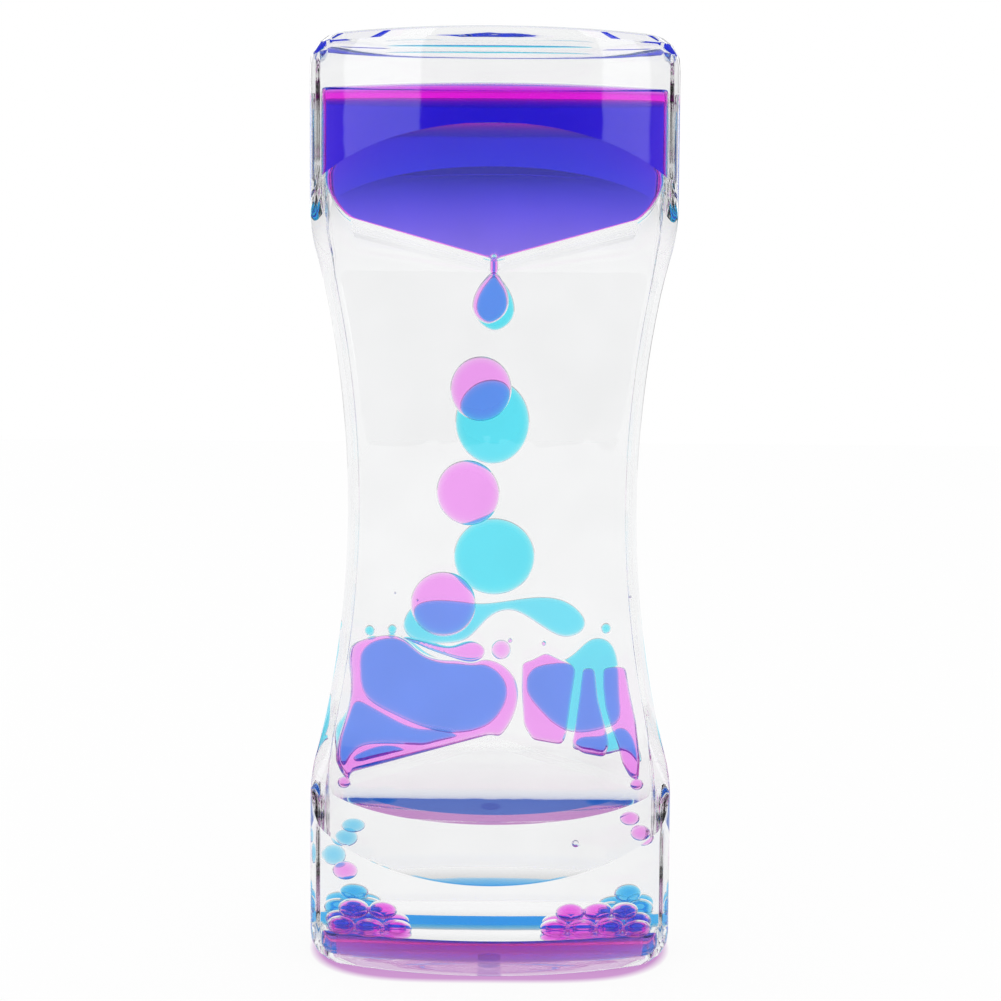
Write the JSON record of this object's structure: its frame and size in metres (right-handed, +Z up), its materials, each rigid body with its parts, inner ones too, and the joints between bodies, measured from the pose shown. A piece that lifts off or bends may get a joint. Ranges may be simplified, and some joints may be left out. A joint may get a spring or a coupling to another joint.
{
  "type": "liquid motion timer",
  "caption": "Clear hourglass liquid motion timer: magenta and cyan drops fall in two oil-filled chambers between funnel plates at its ends.",
  "frame": {"origin": "middle of the base's underside, which rests on the table", "axes": "+Z up along the timer's height, X across the wide front, -Y towards the viewer of the magenta chamber"},
  "size_m": [0.065, 0.035, 0.165],
  "materials": {
    "clear_casing": "polished clear acrylic",
    "clear_caps": "polished clear acrylic",
    "divider_sheet": "thin clear acrylic sheet",
    "funnel_plates": "clear acrylic plate",
    "clear_oil": "clear mineral oil",
    "magenta_liquid": "dyed water, bright magenta",
    "cyan_liquid": "dyed water, bright cyan"
  },
  "bodies": {
    "casing": {"back_fill_plug": "clear_caps", "back_lower_funnel": "funnel_plates", "back_oil": "clear_oil", "back_shell": "clear_casing", "back_upper_funnel": "funnel_plates", "back_upper_oil": "clear_oil", "bottom_cap": "clear_caps", "cyan_beads_left": "cyan_liquid", "cyan_beads_right": "cyan_liquid", "cyan_floor_layer": "cyan_liquid", "cyan_landing_drop": "cyan_liquid", "cyan_pool_left_lower": "cyan_liquid", "cyan_pool_left_small": "cyan_liquid", "cyan_pool_left_upper": "cyan_liquid", "cyan_pool_right_lower": "cyan_liquid", "cyan_pool_right_upper": "cyan_liquid", "cyan_reservoir": "cyan_liquid", "divider_sheet": "divider_sheet", "front_fill_plug": "clear_caps", "front_lower_funnel": "funnel_plates", "front_oil": "clear_oil", "front_shell": "clear_casing", "front_upper_funnel": "funnel_plates", "front_upper_oil": "clear_oil", "magenta_beads_left": "magenta_liquid", "magenta_beads_right": "magenta_liquid", "magenta_floor_layer": "magenta_liquid", "magenta_pool_blob": "magenta_liquid", "magenta_pool_left": "magenta_liquid", "magenta_pool_right": "magenta_liquid", "magenta_reservoir": "magenta_liquid", "top_cap": "clear_caps"},
    "magenta_drop_1": {"magenta_drop_1": "magenta_liquid"},
    "magenta_hanging_drop": {"magenta_hanging_drop": "magenta_liquid"},
    "magenta_drop_2": {"magenta_drop_2": "magenta_liquid"},
    "magenta_drop_3": {"magenta_drop_3": "magenta_liquid"},
    "cyan_drop_1": {"cyan_drop_1": "cyan_liquid"},
    "cyan_hanging_drop": {"cyan_hanging_drop": "cyan_liquid"},
    "cyan_drop_2": {"cyan_drop_2": "cyan_liquid"},
    "magenta_edge_drip_right": {"magenta_edge_drip_right": "magenta_liquid"},
    "magenta_edge_drip_left": {"magenta_edge_drip_left": "magenta_liquid"},
    "magenta_side_drop_right_upper": {"magenta_side_drop_right_upper": "magenta_liquid"},
    "magenta_side_drop_right_lower": {"magenta_side_drop_right_lower": "magenta_liquid"},
    "magenta_side_drop_left": {"magenta_side_drop_left": "magenta_liquid"},
    "cyan_side_drop_upper": {"cyan_side_drop_upper": "cyan_liquid"},
    "cyan_side_drop_lower": {"cyan_side_drop_lower": "cyan_liquid"}
  },
  "joints": [
    {"name": "magenta_drop_1_fall", "type": "slide", "parent": "casing", "child": "magenta_drop_1", "axis": [-0.1166, 0, -0.9932], "range_m": [0, 0.01888], "deforming": ["front_oil"]},
    {"name": "magenta_hanging_drop_fall", "type": "slide", "parent": "casing", "child": "magenta_hanging_drop", "axis": [-0.1449, 0, -0.9894], "range_m": [0, 0.01488], "deforming": ["front_oil"]},
    {"name": "magenta_drop_2_fall", "type": "slide", "parent": "casing", "child": "magenta_drop_2", "axis": [-0.2122, 0, -0.9772], "range_m": [0, 0.0165], "deforming": ["front_oil"]},
    {"name": "magenta_drop_3_fall", "type": "slide", "parent": "casing", "child": "magenta_drop_3", "axis": [0, 0, -1], "range_m": [0, 0.008], "deforming": ["front_oil", "magenta_pool_left", "magenta_pool_blob"]},
    {"name": "cyan_drop_1_fall", "type": "slide", "parent": "casing", "child": "cyan_drop_1", "axis": [0.0202, 0, -0.9998], "range_m": [0, 0.0176], "deforming": ["back_oil"]},
    {"name": "cyan_hanging_drop_fall", "type": "slide", "parent": "casing", "child": "cyan_hanging_drop", "axis": [-0.0051, 0, -1], "range_m": [0, 0.0205], "deforming": ["back_oil"]},
    {"name": "cyan_drop_2_fall", "type": "slide", "parent": "casing", "child": "cyan_drop_2", "axis": [0, 0, -1], "range_m": [0, 0.008], "deforming": ["back_oil", "cyan_landing_drop"]},
    {"name": "magenta_edge_drip_right_fall", "type": "slide", "parent": "casing", "child": "magenta_edge_drip_right", "axis": [0, 0, -1], "range_m": [0, 0.01769], "deforming": ["front_oil"]},
    {"name": "magenta_edge_drip_left_fall", "type": "slide", "parent": "casing", "child": "magenta_edge_drip_left", "axis": [0, 0, -1], "range_m": [0, 0.01769], "deforming": ["front_oil"]},
    {"name": "magenta_side_drop_right_upper_fall", "type": "slide", "parent": "casing", "child": "magenta_side_drop_right_upper", "axis": [0, 0, -1], "range_m": [0, 0.01149], "deforming": ["front_oil"]},
    {"name": "magenta_side_drop_right_lower_fall", "type": "slide", "parent": "casing", "child": "magenta_side_drop_right_lower", "axis": [0, 0, -1], "range_m": [0, 0.00935], "deforming": ["front_oil"]},
    {"name": "magenta_side_drop_left_fall", "type": "slide", "parent": "casing", "child": "magenta_side_drop_left", "axis": [0, 0, -1], "range_m": [0, 0.00251], "deforming": ["front_oil"]},
    {"name": "cyan_side_drop_upper_fall", "type": "slide", "parent": "casing", "child": "cyan_side_drop_upper", "axis": [0, 0, -1], "range_m": [0, 0.00526], "deforming": ["back_oil"]},
    {"name": "cyan_side_drop_lower_fall", "type": "slide", "parent": "casing", "child": "cyan_side_drop_lower", "axis": [0, 0, -1], "range_m": [0, 0.00099], "deforming": ["back_oil"]}
  ],
  "couplings": [
    {"joint": "magenta_hanging_drop_fall", "follows": "magenta_drop_1_fall", "ratio": 0.78806},
    {"joint": "magenta_drop_2_fall", "follows": "magenta_drop_1_fall", "ratio": 0.87385},
    {"joint": "magenta_drop_3_fall", "follows": "magenta_drop_1_fall", "ratio": 0.42369},
    {"joint": "cyan_hanging_drop_fall", "follows": "cyan_drop_1_fall", "ratio": 1.1647},
    {"joint": "cyan_drop_2_fall", "follows": "cyan_drop_1_fall", "ratio": 0.4545},
    {"joint": "magenta_edge_drip_left_fall", "follows": "magenta_edge_drip_right_fall", "ratio": 0.9999},
    {"joint": "magenta_side_drop_right_upper_fall", "follows": "magenta_edge_drip_right_fall", "ratio": 0.64945},
    {"joint": "magenta_side_drop_right_lower_fall", "follows": "magenta_edge_drip_right_fall", "ratio": 0.52849},
    {"joint": "magenta_side_drop_left_fall", "follows": "magenta_edge_drip_right_fall", "ratio": 0.14187},
    {"joint": "cyan_side_drop_lower_fall", "follows": "cyan_side_drop_upper_fall", "ratio": 0.18819}
  ]
}
